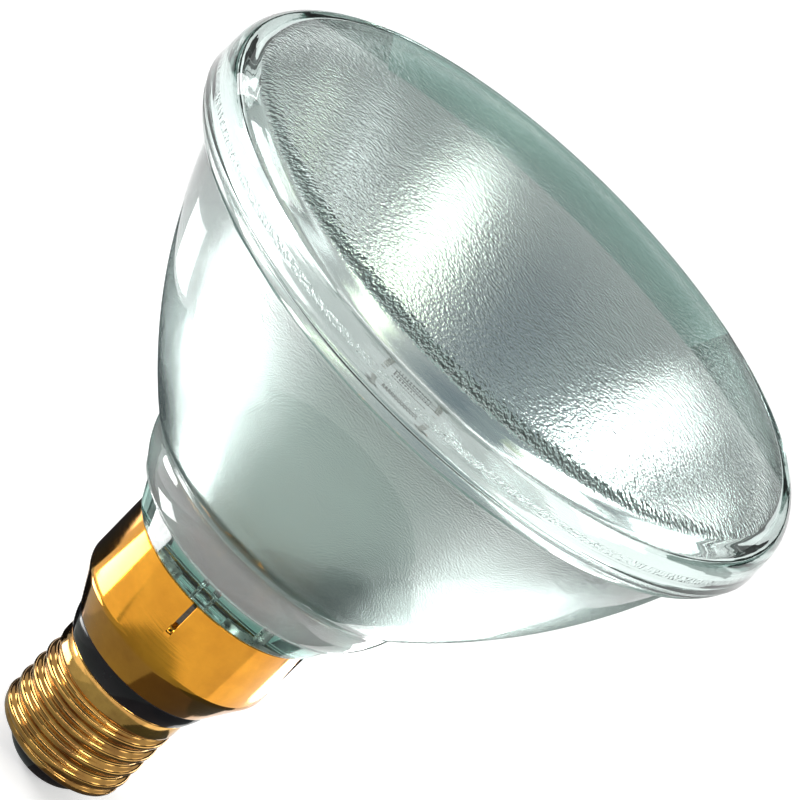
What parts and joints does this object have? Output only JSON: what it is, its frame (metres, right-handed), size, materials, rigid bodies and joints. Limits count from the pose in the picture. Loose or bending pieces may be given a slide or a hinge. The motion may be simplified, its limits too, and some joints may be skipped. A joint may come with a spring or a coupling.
{
  "type": "reflector lamp",
  "caption": "Par spotlight bulb: pressed glass reflector, silvered inside, under a clear stippled lens, on a skirted brass screw cap.",
  "frame": {"origin": "tip of the centre contact, on the lamp's axis", "axes": "+Z along the lamp's axis from the cap to the lens, -Y through the slot in the skirt, +X to the right seen from the slot's side"},
  "size_m": [0.122, 0.122, 0.1354],
  "materials": {
    "clear_glass": "clear pressed glass with a faint green tint, fire-polished outside and stippled inside the lens",
    "mirror_coating": "vapour-deposited aluminium, bright",
    "ferrule_metal": "satin nickel-iron",
    "braze": "satin silver braze",
    "post_metal": "satin nickel",
    "tungsten": "dull tungsten",
    "lead_wire": "satin coppered wire",
    "solder": "satin solder",
    "cement": "matt dark baked cement",
    "skirt_brass": "bright drawn brass with fine draw marks",
    "black_glass": "glossy black glass",
    "shell_brass": "bright rolled brass",
    "contact_metal": "satin brass"
  },
  "bodies": {
    "root": {"lens": "clear_glass", "reflector": "clear_glass", "mirror_coating": "mirror_coating", "ferrule_left": "ferrule_metal", "ferrule_right": "ferrule_metal", "braze_joints": "braze", "lead_post_left": "post_metal", "lead_post_right": "post_metal", "filament": "tungsten", "contact_lead": "lead_wire", "shell_lead": "lead_wire", "shell_solder": "solder", "basing_cement": "cement", "cap_skirt": "skirt_brass", "insulating_ring": "black_glass", "screw_shell": "shell_brass", "tip_insulator": "black_glass", "centre_contact": "contact_metal", "contact_solder": "solder"}
  },
  "joints": []
}
